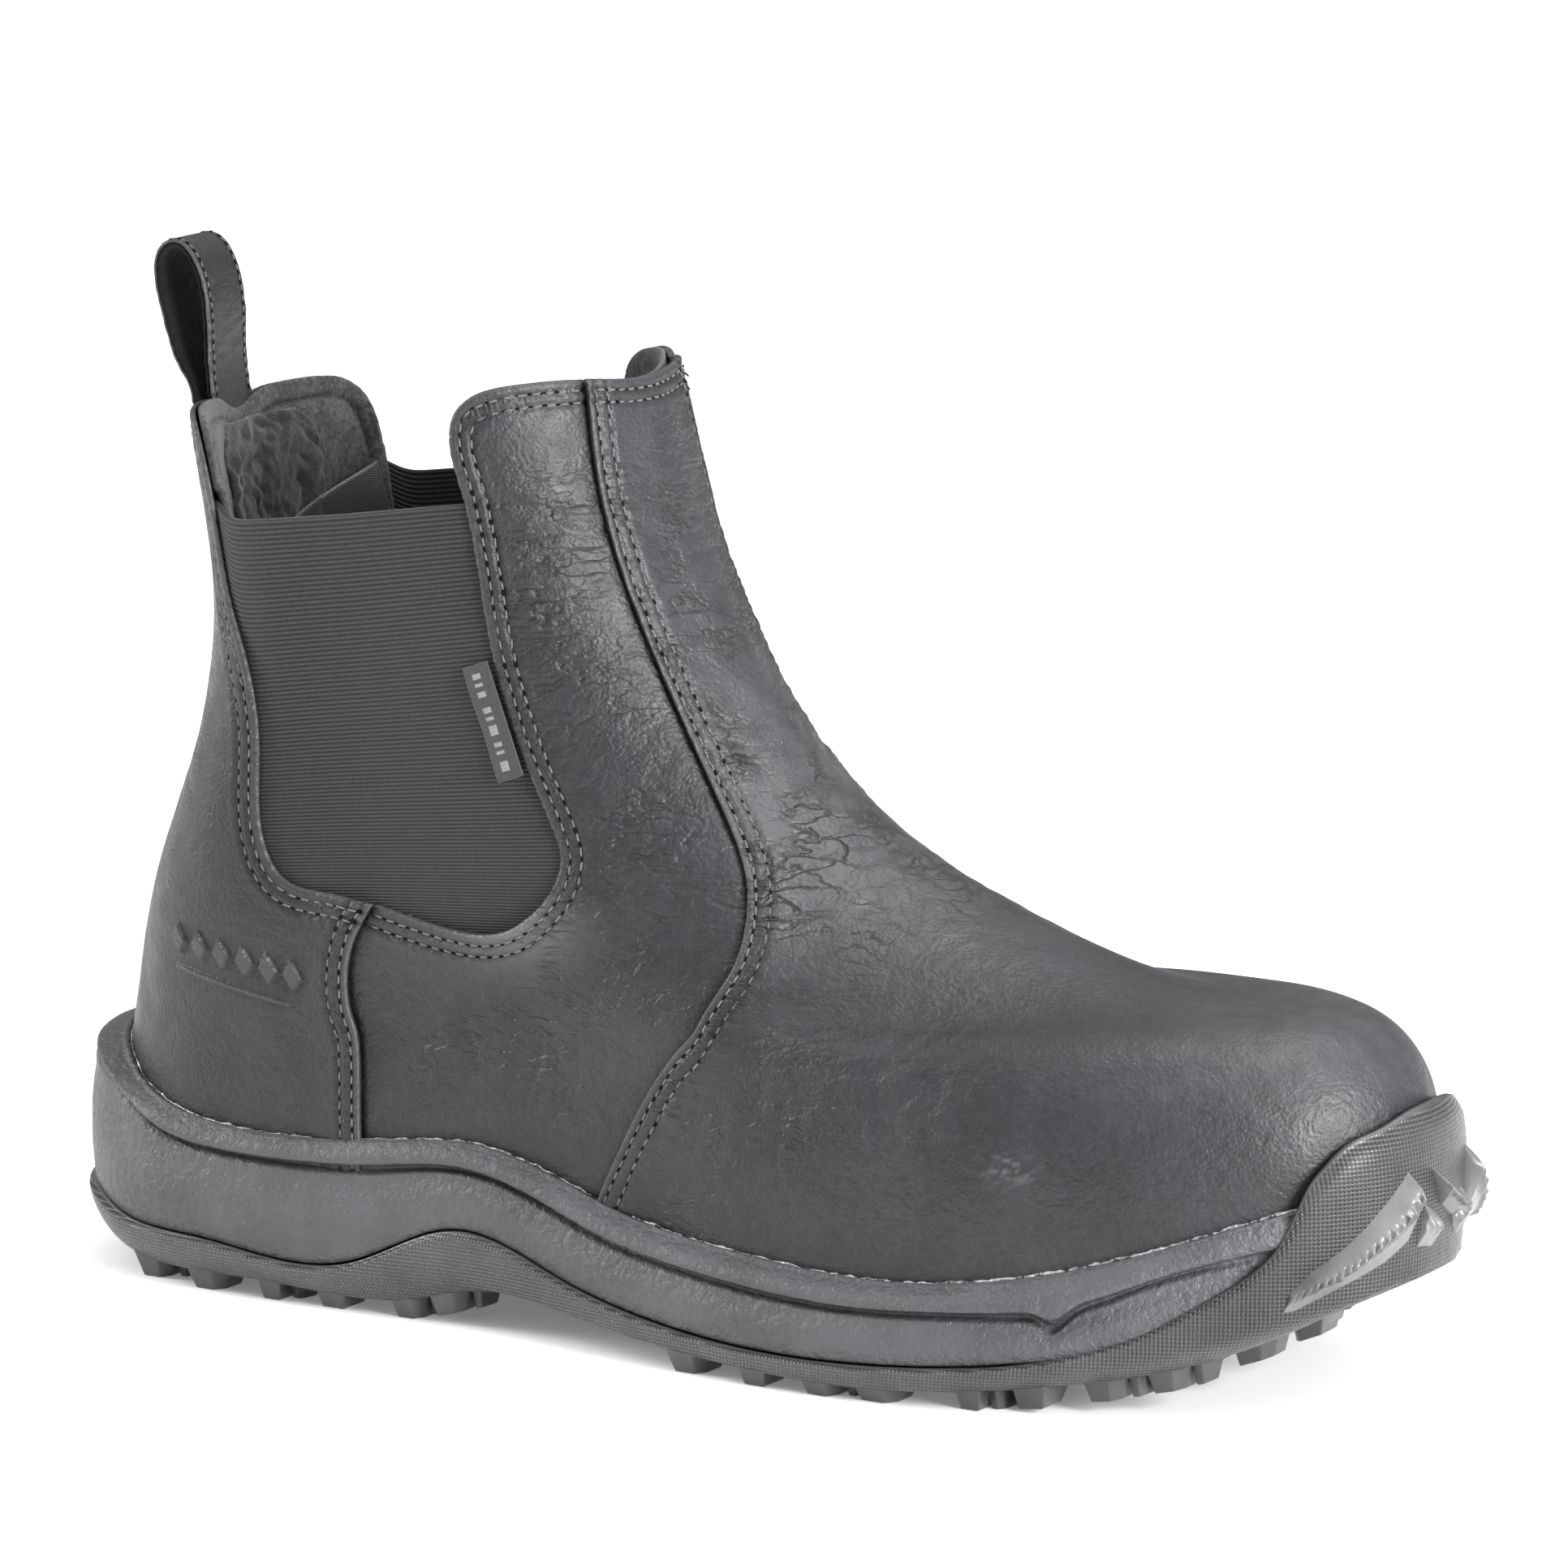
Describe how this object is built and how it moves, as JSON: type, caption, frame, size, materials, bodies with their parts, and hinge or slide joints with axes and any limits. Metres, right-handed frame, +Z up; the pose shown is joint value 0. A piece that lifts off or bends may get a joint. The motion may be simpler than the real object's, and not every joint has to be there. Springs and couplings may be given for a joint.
{
  "type": "steel toe work boot",
  "caption": "Slip-on ankle work boot for the right foot with a steel toe cap, elastic side gores, a moulded midsole, a lugged outsole with a toe bumper and a pull tab at the heel.",
  "frame": {"origin": "centre of the bounding box on the ground, under the lugs", "axes": "+X from heel to toe along the boot's length, +Z up, -Y to the outer (lateral) side of a right boot"},
  "size_m": [0.3116, 0.1122, 0.2173],
  "materials": {
    "leather": "matt waxy charcoal full-grain leather, fine pebble and creases",
    "tab_leather": "charcoal leather strap, rough flesh side inside",
    "elastic": "black ribbed elastic webbing",
    "lining": "dark grey brushed fleece lining",
    "grip_suede": "dark split suede patch",
    "satin": "black satin tape",
    "label_tape": "dark woven tape, no lettering",
    "midsole_foam": "moulded grey foam with a fine pebble",
    "outsole_rubber": "dark grey carbon rubber, semi-gloss, fine grid on the sides",
    "cap_steel": "pressed and coated steel",
    "spring_steel": "spring steel strip",
    "insole_board": "compressed fibre board",
    "footbed": "foam footbed with a fleece top",
    "counter_board": "thermoplastic counter",
    "edge_strip": "soft plastic strip"
  },
  "bodies": {
    "boot": {"outsole": "outsole_rubber", "midsole": "midsole_foam", "shank": "spring_steel", "insole_board": "insole_board", "footbed": "footbed", "heel_counter": "counter_board", "steel_toe_cap": "cap_steel", "toe_cap_edge_strip": "edge_strip", "vamp": "leather", "lateral_quarter": "leather", "medial_quarter": "leather", "heel_quarter": "leather", "lateral_gore": "elastic", "medial_gore": "elastic", "front_lining": "lining", "heel_lining": "lining", "heel_grip_patch": "grip_suede", "pull_tab_outer_tail": "tab_leather", "pull_tab_inner_tail": "tab_leather", "size_flap": "satin"},
    "pull_tab": {"pull_tab": "tab_leather"},
    "side_label": {"side_label": "label_tape"}
  },
  "joints": [
    {"name": "pull_tab_hinge", "type": "hinge", "parent": "boot", "child": "pull_tab", "pos_m": [-0.12425, 0.0003, 0.18529], "axis": [0, 1, 0], "range_deg": [-60, 60], "stiffness_Nm_per_rad": 0.008},
    {"name": "side_label_flip", "type": "hinge", "parent": "boot", "child": "side_label", "pos_m": [-0.03497, -0.03766, 0.11698], "axis": [-0.3361, -0.0136, 0.9417], "range_deg": [0, 110], "stiffness_Nm_per_rad": 0.0005}
  ]
}
